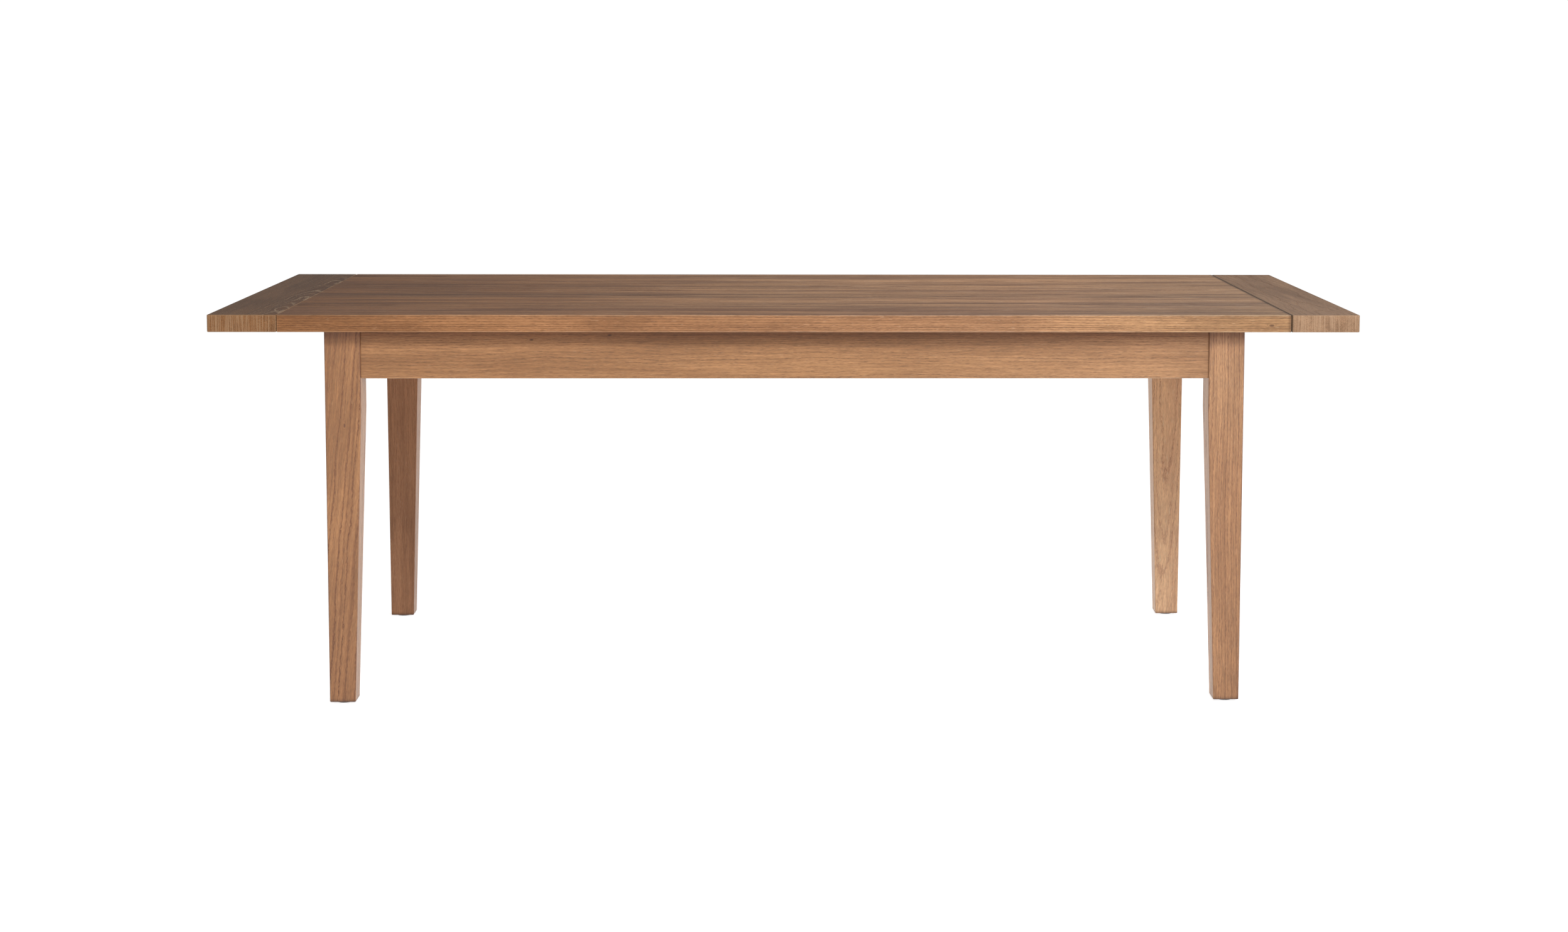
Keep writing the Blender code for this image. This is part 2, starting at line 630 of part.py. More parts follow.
def make_runner_cap(side, face, sx, sy, material):
    """A plastic plug in the outer end of a runner."""
    centre = (sy * RUNNER_LANE_Y, (RUNNER_TOP + RUNNER_LOW) / 2)
    start = RUNNER_OUTER_X + GAP
    flange = bmesh.new()
    add_prism(flange, rounded_outline(centre, RUNNER_WIDTH, RUNNER_HEIGHT, 0.003), "X",
              sx * start, sx * (start + CAP_FLANGE))
    cap = new_object(f"runner_cap_{side}_{face}", flange, material, smooth=True)
    plug = bmesh.new()
    room = 2 * RUNNER_WALL + 2 * GAP
    add_prism(plug, rounded_outline(centre, RUNNER_WIDTH - room, RUNNER_HEIGHT - room, 0.0015), "X",
              sx * (start + GAP), sx * (start - CAP_PLUG_LENGTH))
    join(f"cap_plug_{side}_{face}", cap, plug)


# ---------------------------------------------------------------- build

def build():
    clear_scene()
    top_oak = make_material("top_oak", (0.36, 0.20, 0.11), 0.55)
    end_oak = make_material("end_oak", (0.30, 0.17, 0.095), 0.55)
    leg_oak = make_material("leg_oak", (0.40, 0.21, 0.11), 0.55)
    apron_oak = make_material("apron_oak", (0.38, 0.19, 0.095), 0.55)
    rail_beech = make_material("rail_beech", (0.50, 0.33, 0.19), 0.6)
    dowel_beech = make_material("dowel_beech", (0.55, 0.37, 0.22), 0.6)
    black_steel = make_material("black_steel", (0.03, 0.03, 0.032), 0.45, 0.6)
    zinc_steel = make_material("zinc_steel", (0.62, 0.62, 0.60), 0.35, 1.0)
    black_nylon = make_material("black_nylon", (0.025, 0.022, 0.02), 0.6)

    for face, sy in FACES.items():
        for side, sx in SIDES.items():
            place = f"{face}_{side}"
            make_leg(place, sx, sy, leg_oak)
            make_glide(place, sx, sy, black_nylon)
            make_corner_brace(place, sx, sy, rail_beech)
            make_leg_bolt(place, sx, sy, zinc_steel)
            make_runner(side, face, sx, sy, black_steel)
            make_stop_pin(side, face, sx, sy, zinc_steel)
            make_runner_cap(side, face, sx, sy, black_nylon)
        make_long_apron(face, sy, apron_oak)
        make_rail(face, sy, rail_beech)
        for station, x in BUTTON_STATIONS.items():
            make_button(face, station, sy, x, rail_beech)

    for side, sx in SIDES.items():
        make_end_apron(side, sx, apron_oak)
        make_end_board(side, sx, end_oak)
        make_dowels(side, sx, dowel_beech)

    for index, (y_front, y_back) in enumerate(zip(PLANK_EDGES, PLANK_EDGES[1:])):
        make_plank(index, y_front, y_back, top_oak)

    make_leaf("upper", SIDES["left"], UPPER_LEAF_LOW, top_oak)
    make_leaf("lower", SIDES["right"], LOWER_LEAF_LOW, top_oak)


build()
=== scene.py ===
import math

import bmesh
import bpy
from mathutils import Matrix, Vector


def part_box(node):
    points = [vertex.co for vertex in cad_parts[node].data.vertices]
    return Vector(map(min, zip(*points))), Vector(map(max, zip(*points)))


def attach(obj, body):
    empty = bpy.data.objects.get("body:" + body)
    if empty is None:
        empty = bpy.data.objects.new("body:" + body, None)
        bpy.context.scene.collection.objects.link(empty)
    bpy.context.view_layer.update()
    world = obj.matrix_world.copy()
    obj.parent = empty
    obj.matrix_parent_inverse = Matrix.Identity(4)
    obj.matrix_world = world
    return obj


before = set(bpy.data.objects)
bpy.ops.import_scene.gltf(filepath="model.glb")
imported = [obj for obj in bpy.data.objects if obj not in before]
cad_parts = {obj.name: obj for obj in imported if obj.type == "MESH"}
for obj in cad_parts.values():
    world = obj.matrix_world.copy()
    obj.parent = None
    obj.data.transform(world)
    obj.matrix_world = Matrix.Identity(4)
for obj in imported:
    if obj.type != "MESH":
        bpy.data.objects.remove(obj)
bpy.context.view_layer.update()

# Looks of an extendable oak dining table. Metres, +Z up, +X to the right, the front faces -Y.

AXES = {"X": 0, "Y": 1, "Z": 2}
SIDES = {"left": -1, "right": 1}
FACES = {"front": -1, "back": 1}
PLACES = [f"{face}_{side}" for face in FACES for side in SIDES]
PLANKS = [f"top_plank_{number}" for number in range(1, 9)]
STATIONS = ("left", "middle", "right")

# Camera
SENSOR_WIDTH = 36.0
FOCAL_LENGTH = 60.959
CAMERA_PLACE = Vector((-0.0042, -5.5206, 1.2513))
CAMERA_YAW = -0.0244
CAMERA_PITCH = -0.0986
CAMERA_ROLL = 0.0028
CAMERA_SHIFT = (-0.0412, -0.0921)


# ---------------------------------------------------------------- shader graphs

class Graph:
    """Adds shader nodes to a tree. Every value may be a number, a tuple or another node's output."""

    def __init__(self, tree):
        self.tree = tree

    def plug(self, socket, value):
        if isinstance(value, bpy.types.NodeSocket):
            self.tree.links.new(value, socket)
        else:
            socket.default_value = value

    def node(self, kind, inputs=None, **settings):
        made = self.tree.nodes.new("ShaderNode" + kind)
        for name, value in settings.items():
            setattr(made, name, value)
        for key, value in (inputs or {}).items():
            self.plug(made.inputs[key], value)
        return made

    def math(self, operation, first, second=0.0, clamp=False):
        made = self.node("Math", {0: first, 1: second}, operation=operation, use_clamp=clamp)
        return made.outputs[0]

    def add(self, first, second):
        return self.math("ADD", first, second)

    def subtract(self, first, second):
        return self.math("SUBTRACT", first, second)

    def multiply(self, first, second):
        return self.math("MULTIPLY", first, second)

    def spread(self, value, amount):
        """A 0 to 1 value moved to run from -amount/2 to amount/2."""
        return self.multiply(self.subtract(value, 0.5), amount)

    def ramp(self, value, start, end, low=0.0, high=1.0):
        """A soft step from low to high as the value goes from start to end."""
        made = self.node("MapRange", {"Value": value, "From Min": start, "From Max": end,
                                      "To Min": low, "To Max": high}, interpolation_type="SMOOTHSTEP")
        return made.outputs["Result"]

    def vector(self, operation, first, second=(0.0, 0.0, 0.0)):
        made = self.node("VectorMath", {0: first, 1: second}, operation=operation)
        return made.outputs["Value" if operation in ("LENGTH", "DISTANCE") else "Vector"]

    def split(self, vector):
        """The parts of a vector, by the names X, Y and Z."""
        return self.node("SeparateXYZ", {0: vector}).outputs

    def join(self, x, y, z):
        return self.node("CombineXYZ", {0: x, 1: y, 2: z}).outputs[0]

    def mix(self, factor, first, second, blend="MIX"):
        made = self.node("Mix", {0: factor, 6: first, 7: second}, data_type="RGBA", blend_type=blend)
        return made.outputs[2]

    def noise(self, vector, scale, detail=2.0, roughness=0.5):
        """Noise whose grain size is 1/scale metres along each axis."""
        stretched = self.vector("MULTIPLY", vector, scale)
        return self.node("TexNoise", {"Vector": stretched, "Scale": 1.0, "Detail": detail,
                                      "Roughness": roughness}).outputs[0]

    def cells(self, vector, scale):
        stretched = self.vector("MULTIPLY", vector, scale)
        return self.node("TexVoronoi", {"Vector": stretched, "Scale": 1.0}).outputs["Distance"]


def new_group(name, inputs, outputs):
    """A node group with named sockets. Returns the group, its inlet's outputs and its outlet's inputs."""
    group = bpy.data.node_groups.new(name, "ShaderNodeTree")
    for direction, sockets in (("INPUT", inputs), ("OUTPUT", outputs)):
        for socket, kind in sockets.items():
            group.interface.new_socket(socket, in_out=direction, socket_type="NodeSocket" + kind)
    inlet = group.nodes.new("NodeGroupInput")
    outlet = group.nodes.new("NodeGroupOutput")
    return group, inlet.outputs, outlet.inputs


# ---------------------------------------------------------------- wood

# How often each part of the grain repeats in a metre, along the grain, tangential and radial
SLOW_WANDER = (2.6, 7.0, 7.0)
QUICK_WANDER = (8.0, 26.0, 26.0)
RING_JITTER = (95.0, 230.0, 230.0)
UNEVEN_YEARS = (55.0, 1.0, 1.0)
FINE_PORES = (95.0, 1000.0, 1000.0)
COARSE_PORES = (80.0, 420.0, 420.0)
RAY_SHEETS = (60.0, 640.0, 12.0)
RAY_FLECKS = (55.0, 900.0, 420.0)
PAINTED_GLINTS = (13.0, 110.0, 110.0)
FIBRES = (30.0, 760.0, 760.0)
DASHES = (30.0, 480.0, 480.0)
STREAKS = (3.6, 110.0, 110.0)
BANDS = (1.5, 22.0, 22.0)
CLOUDS = (3.2, 11.0, 11.0)
STAIN_PATCHES = (1.8, 30.0, 30.0)
RAGGED_EDGES = (45.0, 45.0, 45.0)

# How far a knot pushes the rings aside, how far it reaches in its own radii, and its shape along the grain
KNOT_PUSH = 0.011
KNOT_REACH = 3.2
KNOT_SLENDERNESS = 0.45

# How far the rings stray: shares of Wander and of Ring Width, and a number of years
QUICK_SHARE = 0.40
JITTER_SHARE = 0.62
YEARS_ASTRAY = 2.4

# How much late wood darkens, and how much of the ring lines is lost on end grain
LATE_DARKENING = 0.14
LINES_LOST = 0.88

# How strongly the grain bends the light, and how deep it is in metres
GRAIN_BUMP = 0.35
GRAIN_RELIEF = 0.0004

# The part of a normal that lies along an axis, where a face starts to count as facing it and where it does
LOOKING_UP = (0.75, 0.98)
END_GRAIN = (0.60, 0.90)

# A worn edge is worn through up to the first distance and whole from the second, give or take the third
WORN_THROUGH = 0.0002
WORN_REACH = 0.0026
WORN_RAGGEDNESS = 0.0030

# The most that one channel of a wood's colour may reach
PALEST = 0.95


def growth_rings(g, board, given):
    """Early and late wood, by the distance from the pith, bent by wander and pushed aside by knots."""
    parts = g.split(board)
    radius = g.vector("LENGTH", g.join(0.0, parts["Y"], parts["Z"]))
    slow = g.multiply(g.spread(g.noise(board, SLOW_WANDER, detail=2.0), 1.0), given["Wander"])
    wavy = g.multiply(g.spread(g.noise(board, QUICK_WANDER, detail=1.0), QUICK_SHARE), given["Wander"])
    jitter = g.noise(board, RING_JITTER, detail=2.0, roughness=0.6)
    quick = g.multiply(g.spread(jitter, JITTER_SHARE), given["Ring Width"])
    pushed = g.multiply(given["Knot"], KNOT_PUSH)
    bent = g.add(g.add(radius, slow), g.add(wavy, g.add(quick, pushed)))
    uneven = g.spread(g.noise(g.join(bent, 0.0, 0.0), UNEVEN_YEARS, detail=1.0), YEARS_ASTRAY)
    count = g.add(g.math("DIVIDE", bent, given["Ring Width"]), uneven)
    phase = g.math("FRACT", count)
    year = g.node("TexWhiteNoise", {"W": g.math("FLOOR", count)}, noise_dimensions="1D").outputs["Value"]
    early_end = g.add(given["Early"], 0.08)
    early = g.multiply(g.ramp(phase, 0.0, 0.06), g.ramp(phase, 0.08, early_end, 1.0, 0.0))
    early = g.multiply(early, g.ramp(year, 0.0, 1.0, 0.35, 1.0))
    late = g.ramp(phase, 0.50, 1.0)
    return early, late


def pore_marks(g, board, early):
    """Long fine tubes, most of them in the early wood, seen as dashes or as dots on end grain."""
    fine = g.ramp(g.cells(board, FINE_PORES), 0.16, 0.42, 1.0, 0.0)
    coarse = g.ramp(g.cells(board, COARSE_PORES), 0.22, 0.46, 1.0, 0.0)
    return g.math("MAXIMUM", g.multiply(fine, g.add(g.multiply(early, 0.65), 0.35)),
                  g.multiply(coarse, g.add(g.multiply(early, 0.70), 0.30)))


def ray_marks(g, board, given):
    """Thin radial sheets: faint flecks on the faces and stripes on end grain, with pale flecks that are
    painted highlights on raised grain.
    """
    sheets = g.noise(board, RAY_SHEETS, detail=1.0)
    flecks = g.ramp(g.noise(board, RAY_FLECKS, detail=2.0), 0.64, 0.72)
    # Painted highlights: pale flecks that stand for light catching on raised grain
    painted_glints = g.ramp(g.noise(board, PAINTED_GLINTS, detail=3.0, roughness=0.6), 0.58, 0.68)
    flecks = g.math("MAXIMUM", flecks, g.multiply(painted_glints, given["Glints"]))
    return g.math("MAXIMUM", flecks, g.multiply(given["End"], g.ramp(sheets, 0.44, 0.64)))


def ground_colour(g, board, given, fibre, late):
    """Streaks, bands and clouds from the deep to the pale colour, with fibres and short dashes on them."""
    dashes = g.noise(board, DASHES, detail=3.0, roughness=0.70)
    streak = g.noise(board, STREAKS, detail=4.0, roughness=0.70)
    band = g.noise(board, BANDS, detail=3.0, roughness=0.62)
    cloud = g.noise(board, CLOUDS, detail=2.0)
    streaky = g.multiply(g.add(g.spread(streak, 0.9), g.spread(band, 1.0)), given["Streaks"])
    tone = g.add(streaky, g.spread(cloud, 0.7))
    colour = g.mix(g.ramp(tone, -0.24, 0.24), given["Deep"], given["Pale"])
    fibre_shade = g.ramp(fibre, 0.34, 0.66, 0.86, 1.12)
    late_shade = g.subtract(1.0, g.multiply(late, g.multiply(given["Rings"], LATE_DARKENING)))
    dash_shade = g.add(1.0, g.multiply(g.spread(dashes, 0.9), given["Dashes"]))
    shade = g.multiply(g.multiply(fibre_shade, dash_shade), late_shade)
    return g.mix(1.0, colour, g.join(shade, shade, shade), "MULTIPLY")


def marked_colour(g, colour, given, early, pores, rays):
    """Lays ring lines, pores, rays, knots and stains, and wear over a colour."""
    ring_lines = g.multiply(early, g.subtract(1.0, g.multiply(given["End"], LINES_LOST)))
    colour = g.mix(g.multiply(ring_lines, given["Rings"]), colour, given["Line"])
    colour = g.mix(g.multiply(pores, given["Pores"]), colour, given["Pore"])
    colour = g.mix(g.multiply(rays, given["Rays"]), colour, given["Ray"])
    heart = g.ramp(given["Knot"], 0.50, 0.95)
    colour = g.mix(g.math("MAXIMUM", heart, given["Stain"]), colour, given["Pore"])
    return g.mix(given["Worn"], colour, given["Ray"])


def make_wood_group():
    """Solid wood around a pith. Board is (along the grain, tangential, radial), in metres from the pith."""
    inputs = {"Board": "Vector", "End": "Float", "Knot": "Float", "Stain": "Float", "Worn": "Float",
              "Pale": "Color", "Deep": "Color", "Line": "Color", "Pore": "Color", "Ray": "Color",
              "Ring Width": "Float", "Early": "Float", "Rings": "Float", "Pores": "Float", "Rays": "Float",
              "Glints": "Float", "Dashes": "Float", "Streaks": "Float", "Wander": "Float"}
    outputs = {"Color": "Color", "Gloss": "Float", "Height": "Float"}
    group, given, result = new_group("wood_grain", inputs, outputs)
    g = Graph(group)
    board = given["Board"]
    early, late = growth_rings(g, board, given)
    pores = pore_marks(g, board, early)
    rays = ray_marks(g, board, given)
    fibre = g.noise(board, FIBRES, detail=3.0, roughness=0.65)
    colour = ground_colour(g, board, given, fibre, late)
    colour = marked_colour(g, colour, given, early, pores, rays)

    height = g.add(g.multiply(fibre, 0.35), g.multiply(late, 0.30))
    height = g.subtract(height, g.add(g.multiply(pores, 0.9), g.multiply(early, 0.35)))
    gloss = g.subtract(g.add(0.48, g.multiply(early, 0.10)), g.multiply(given["Worn"], 0.10))
    gloss = g.add(gloss, g.spread(fibre, 0.16))
    g.plug(result["Color"], colour)
    g.plug(result["Gloss"], gloss)
    g.plug(result["Height"], height)
    return group


WOOD = make_wood_group()

# Early is the share of a ring that is porous early wood. Wander and Ring Width are in metres.
# The values from Rings to Streaks are how strongly each part of the grain shows.
OAK = {"Pale": (0.420, 0.208, 0.094), "Deep": (0.285, 0.134, 0.058), "Line": (0.165, 0.074, 0.033),
       "Pore": (0.105, 0.047, 0.024), "Ray": (0.56, 0.36, 0.22), "Ring Width": 0.0040, "Wander": 0.016,
       "Early": 0.30, "Rings": 0.70, "Pores": 0.70, "Rays": 0.30, "Glints": 0.0, "Dashes": 0.8,
       "Streaks": 1.0}
BEECH = {"Pale": (0.56, 0.37, 0.22), "Deep": (0.46, 0.28, 0.155), "Line": (0.40, 0.23, 0.125),
         "Pore": (0.30, 0.16, 0.085), "Ray": (0.34, 0.19, 0.10), "Ring Width": 0.0034, "Wander": 0.008,
         "Early": 0.30, "Rings": 0.30, "Pores": 0.10, "Rays": 0.40, "Glints": 0.0, "Dashes": 0.3,
         "Streaks": 0.6}

# Where boards are cut from along their trunk, in metres: the first one's place, and the step to the next
SEEDS = {"top": (3.1, 4.7), "end": (40.3, 2.0), "leg": (60.0, 3.7), "apron": (80.0, 5.3),
         "leaf": (110.0, 6.1), "beech": (130.0, 10.0)}


def seed_of(family, number):
    """The place along the trunk of a family's board, counted from 0."""
    first, step = SEEDS[family]
    return first + step * number


def scaled(colour, factor):
    """A colour made lighter or darker, with its alpha added."""
    return (*(min(channel * factor, PALEST) for channel in colour), 1.0)


def edge_distance(g, point, low, high):
    """Distance to the nearest edge of a box, for a point on one of its faces."""
    distances = []
    for value, below, above in zip(g.split(point), low, high):
        distances.append(g.math("MINIMUM", g.math("ABSOLUTE", g.subtract(value, below)),
                                g.math("ABSOLUTE", g.subtract(above, value))))
    a, b, c = distances
    smaller = g.math("MINIMUM", a, b)
    larger = g.math("MAXIMUM", a, b)
    return g.math("MAXIMUM", smaller, g.math("MINIMUM", larger, c))


def worn_edges(g, point, low, high):
    """1 on the ragged edges of a box, 0 away from them."""
    distance = edge_distance(g, point, low, high)
    ragged = g.add(distance, g.spread(g.noise(point, RAGGED_EDGES, detail=3.0), WORN_RAGGEDNESS))
    return g.ramp(ragged, WORN_THROUGH, WORN_REACH, 1.0, 0.0)


def tone_along(g, coordinate, stops):
    """A tint that changes along an axis. Each stop is (place, colour), in order."""
    start, end = stops[0][0], stops[-1][0]
    place = g.node("MapRange", {"Value": coordinate, "From Min": start, "From Max": end}).outputs["Result"]
    made = g.node("ValToRGB", {"Fac": place})
    elements = made.color_ramp.elements
    for index, (position, colour) in enumerate(stops):
        share = (position - start) / (end - start)
        element = elements[index] if index < 2 else elements.new(share)
        element.position = share
        element.color = (*colour, 1.0)
    return made.outputs["Color"]


def finish_shader(g, colour, roughness, height, bump, distance, specular):
    """Ends a material's graph in its Principled shader."""
    shader = g.tree.nodes["Principled BSDF"]
    normal = g.node("Bump", {"Strength": bump, "Distance": distance, "Height": height}).outputs[0]
    g.plug(shader.inputs["Base Color"], colour)
    g.plug(shader.inputs["Roughness"], roughness)
    g.plug(shader.inputs["Normal"], normal)
    shader.inputs["Specular IOR Level"].default_value = specular
    return shader


def new_material(name):
    """A new material, with its graph."""
    material = bpy.data.materials.new(name)
    material.use_nodes = True
    return material, Graph(material.node_tree)


def knot_field(g, point, grain, knots):
    """1 in the heart of a knot, 0 out of its reach. Each knot is (point, radius)."""
    field = 0.0
    for centre, size in knots:
        stretch = [1.0 / size] * 3
        stretch[AXES[grain]] *= KNOT_SLENDERNESS
        offset = g.vector("MULTIPLY", g.vector("SUBTRACT", point, centre), stretch)
        near = g.ramp(g.vector("LENGTH", offset), 0.0, KNOT_REACH, 1.0, 0.0)
        field = g.math("MAXIMUM", field, near)
    return field


def stain_field(g, board, coordinate, streaks):
    """Patchy dark streaks along the grain. Each is (place across, half width, strength)."""
    field = 0.0
    for place, half_width, strength in streaks:
        reach = g.math("ABSOLUTE", g.subtract(coordinate, place))
        patchy = g.ramp(g.noise(board, STAIN_PATCHES, detail=3.0), 0.36, 0.62, 0.3, 1.0)
        band = g.multiply(g.ramp(reach, 0.0, half_width, 1.0, 0.0), g.multiply(patchy, strength))
        field = g.math("MAXIMUM", field, band)
    return field


def wood_material(name, species, seed, grain, radial, pith, tilt=(0.0, 0.0), shade=1.0, top_shade=1.0,
                  tones=(), box=None, wear=0.35, grime=0.0, streaks=(), knots=(), top_looks=None,
                  specular=0.35, **changes):
    """Wood cut with its grain along one axis.

    pith is where the centre of the tree lies, along the tangential and the radial axis. tilt leans it
    over the length. streaks and knots are for stain_field and knot_field. Each of tones is
    (axis, stops) for tone_along; most tones are painted light and shade. box is where the edges lie that
    are rubbed pale by wear or made darker by a set amount. top_shade is painted shade that makes the
    faces that look up darker or lighter than the sides, and top_looks are their other looks, painted
    highlights among them. changes are to the species' values.
    """
    material, g = new_material(name)
    point = g.node("TexCoord").outputs["Object"]
    tangential = next(axis for axis in AXES if axis not in (grain, radial))
    parts = g.split(point)
    along = parts[grain]
    across = g.add(g.subtract(parts[tangential], pith[0]), g.multiply(along, tilt[0]))
    depth = g.add(g.subtract(parts[radial], pith[1]), g.multiply(along, tilt[1]))
    board = g.join(g.add(along, seed), across, depth)

    worn = 0.0
    stain = stain_field(g, board, parts[tangential], streaks)
    if box:
        edges = worn_edges(g, point, *box)
        worn = g.multiply(edges, wear)
        # Darkens along the edges of the box by a set amount
        stain = g.math("MAXIMUM", stain, g.multiply(edges, grime))

    facing = g.split(g.node("TexCoord").outputs["Normal"])
    upward = facing["Z"]
    end = g.ramp(g.math("ABSOLUTE", facing[grain]), *END_GRAIN)
    looks = dict(species, **changes)
    inputs = {"Board": board, "End": end, "Knot": knot_field(g, point, grain, knots), "Stain": stain,
              "Worn": worn}
    for key, value in looks.items():
        inputs[key] = scaled(value, shade) if isinstance(value, tuple) else value
    for key, value in (top_looks or {}).items():
        inputs[key] = g.ramp(upward, *LOOKING_UP, looks[key], value)
    wood = g.node("Group", node_tree=WOOD)
    for key, value in inputs.items():
        g.plug(wood.inputs[key], value)

    # Painted shade: the faces that look up are made darker or lighter than the sides by top_shade
    tone = g.ramp(upward, *LOOKING_UP, 1.0, top_shade)
    colour = g.mix(1.0, wood.outputs["Color"], g.join(tone, tone, tone), "MULTIPLY")
    # Tints along axes, most of them painted light and shade
    for axis, stops in tones:
        colour = g.mix(1.0, colour, tone_along(g, parts[axis], stops), "MULTIPLY")
    finish_shader(g, colour, wood.outputs["Gloss"], wood.outputs["Height"], GRAIN_BUMP, GRAIN_RELIEF,
                  specular)
    return material


# ---------------------------------------------------------------- metal and plastic

# Patches and dust in a metre
METAL_PATCHES = (90.0, 90.0, 90.0)
DUST_PATCHES = (28.0, 28.0, 28.0)
FITTING_RELIEF = 0.0002


def metal_material(name, pale, dark, roughness, brush_scale, bump):
    """Plated metal, brushed and patchy."""
    material, g = new_material(name)
    point = g.node("TexCoord").outputs["Object"]
    patches = g.noise(point, METAL_PATCHES, detail=4.0, roughness=0.6)
    brushed = g.noise(point, brush_scale, detail=2.0)
    colour = g.mix(g.ramp(patches, 0.3, 0.7), (*dark, 1.0), (*pale, 1.0))
    rough = g.add(g.spread(brushed, 0.18), roughness)
    shader = finish_shader(g, colour, rough, brushed, bump, FITTING_RELIEF, 0.5)
    shader.inputs["Metallic"].default_value = 1.0
    return material


def coated_material(name, pale, dark, roughness, grain_size, bump, specular=0.5):
    """Powder coat or moulded plastic: a fine skin with dusty patches."""
    material, g = new_material(name)
    point = g.node("TexCoord").outputs["Object"]
    skin = g.noise(point, (1.0 / grain_size,) * 3, detail=3.0, roughness=0.6)
    dust = g.noise(point, DUST_PATCHES, detail=4.0, roughness=0.62)
    colour = g.mix(g.ramp(dust, 0.42, 0.72), (*dark, 1.0), (*pale, 1.0))
    rough = g.add(g.spread(skin, 0.20), g.ramp(dust, 0.35, 0.75, roughness, roughness + 0.12))
    finish_shader(g, colour, rough, skin, bump, FITTING_RELIEF, specular)
    return material


# ---------------------------------------------------------------- dress the CAD nodes

def paint(node, material):
    """Gives a CAD node one material in every slot."""
    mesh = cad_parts[node].data
    for index in range(len(mesh.materials)):
        mesh.materials[index] = material


def joint_box(nodes):
    """The box around several nodes."""
    boxes = [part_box(node) for node in nodes]
    low = Vector(min(box[0][i] for box in boxes) for i in range(3))
    high = Vector(max(box[1][i] for box in boxes) for i in range(3))
    return low, high


TOP_SHADE = 1.20
# Painted light along the table: the left end is painted darker and warmer and the right end paler and
# cooler, as the light falls off to the left. In the first two, the last stop is the shadow in the open
# seam at the right end
TOP_PAINTED_LIGHT = ((-1.0, (0.49, 0.41, 0.29)), (-0.55, (0.69, 0.64, 0.56)), (0.0, (0.88, 0.935, 0.99)),
             (0.5, (0.89, 0.94, 1.0)), (0.9645, (0.80, 0.90, 1.0)), (0.968, (0.22, 0.22, 0.22)))
FRONT_PAINTED_LIGHT = ((-1.0, (0.57, 0.50, 0.42)), (-0.2, (0.78, 0.76, 0.75)), (0.4, (0.83, 0.86, 0.92)),
               (0.9655, (0.87, 0.98, 1.0)), (0.968, (0.32, 0.32, 0.32)))
# Painted light along the aprons: darker and warmer at the left, paler at the right, as the light falls off
# to the left
APRON_PAINTED_LIGHT = ((-0.9, (0.87, 0.84, 0.78)), (0.1, (0.87, 0.87, 0.81)), (0.9, (0.92, 0.96, 0.99)))
# The same shadow, on the end board's side of the seam
SEAM_TONES = ((0.969, (0.22, 0.22, 0.22)), (0.9725, (1.0, 1.0, 1.0)), (1.1, (1.0, 1.0, 1.0)))
# Painted shade close under the top, where the overhang shades the aprons and the tops of the legs
UNDER_TOP_PAINTED_SHADE = ((0.690, (1.0, 1.0, 1.0)), (0.713, (0.93, 0.89, 0.90)), (0.7205, (0.76, 0.68, 0.68)),
               (0.732, (0.58, 0.48, 0.48)))
# Painted shadow around the soles of the legs, where they stand on the floor
FOOT_PAINTED_SHADOW = ((0.0, (0.24, 0.20, 0.18)), (0.0062, (0.30, 0.25, 0.22)), (0.0084, (1.0, 1.0, 1.0)),
              (1.0, (1.0, 1.0, 1.0)))
# Painted shade, warm, all over the left end board, as the light falls off to the left
LEFT_END_PAINTED_SHADE = ((-1.1, (1.0, 0.91, 0.80)), (-0.9, (1.0, 0.91, 0.80)))

# How each plank is cut, from the front to the back, and what they have in common
PLANK_CUTS = (
    dict(pith=(-0.440, 0.650), tilt=(0.0, 0.002), shade=1.13, Line=(0.130, 0.056, 0.027), Wander=0.005,
         Early=0.5, Streaks=0.4, Dashes=0.9, top_shade=0.84, tones=(("X", FRONT_PAINTED_LIGHT),),
         streaks=((-0.440, 0.022, 0.30),), knots=(((0.930, -0.480, 0.745), 0.0018),)),
    dict(pith=(-0.262, 0.700), tilt=(-0.014, 0.004), shade=0.94, streaks=((-0.235, 0.030, 0.30),)),
    dict(pith=(0.735, -0.300), radial="Y", tilt=(0.004, 0.010), shade=1.08),
    dict(pith=(-0.066, 0.690), tilt=(0.018, -0.006), shade=0.88, streaks=((-0.030, 0.022, 0.26),),
         knots=(((-0.41, -0.032, 0.765), 0.0045),)),
    dict(pith=(0.070, 0.710), tilt=(-0.010, 0.008), shade=1.04, streaks=((0.108, 0.016, 0.26),),
         knots=(((0.68, 0.100, 0.765), 0.0040),)),
    dict(pith=(0.725, 0.165), radial="Y", tilt=(0.006, 0.012), shade=0.98,
         streaks=((0.226, 0.020, 0.34),)),
    dict(pith=(0.300, 0.695), tilt=(0.012, -0.004), shade=1.08, streaks=((0.262, 0.010, 0.25),)),
    dict(pith=(0.425, 0.690), tilt=(-0.008, 0.006), shade=1.04, streaks=((0.372, 0.012, 0.25),)),
)
# What the planks have in common; their faces that look up get painted highlights as pale flecks
PLANK_LOOKS = dict(radial="Z", Deep=(0.225, 0.104, 0.046), Streaks=0.9, Rings=1.0, Pores=0.75, Early=0.4,
                   tones=(("X", TOP_PAINTED_LIGHT),), specular=0.18,
                   top_looks={"Streaks": 2.2, "Glints": 0.8, "Rays": 0.4})

# The left board's low shade and top shade are painted shade, as the light falls off to the left
END_CUTS = {
    "left": dict({"Ring Width": 0.0032}, pith=(-0.985, 0.712), tilt=(0.006, 0.030), shade=0.54,
                 top_shade=0.66, Line=(1.20, 0.92, 0.68), Early=0.24, Rings=0.85, Rays=0.85, wear=0.6,
                 tones=(("X", LEFT_END_PAINTED_SHADE),)),
    "right": dict(pith=(1.035, 0.640), tilt=(0.010, 0.008), shade=0.75, top_shade=0.90, Rings=0.15,
                  Rays=0.50, Pale=(0.385, 0.220, 0.122), Deep=(0.262, 0.144, 0.078),
                  tones=(("X", SEAM_TONES),)),
}
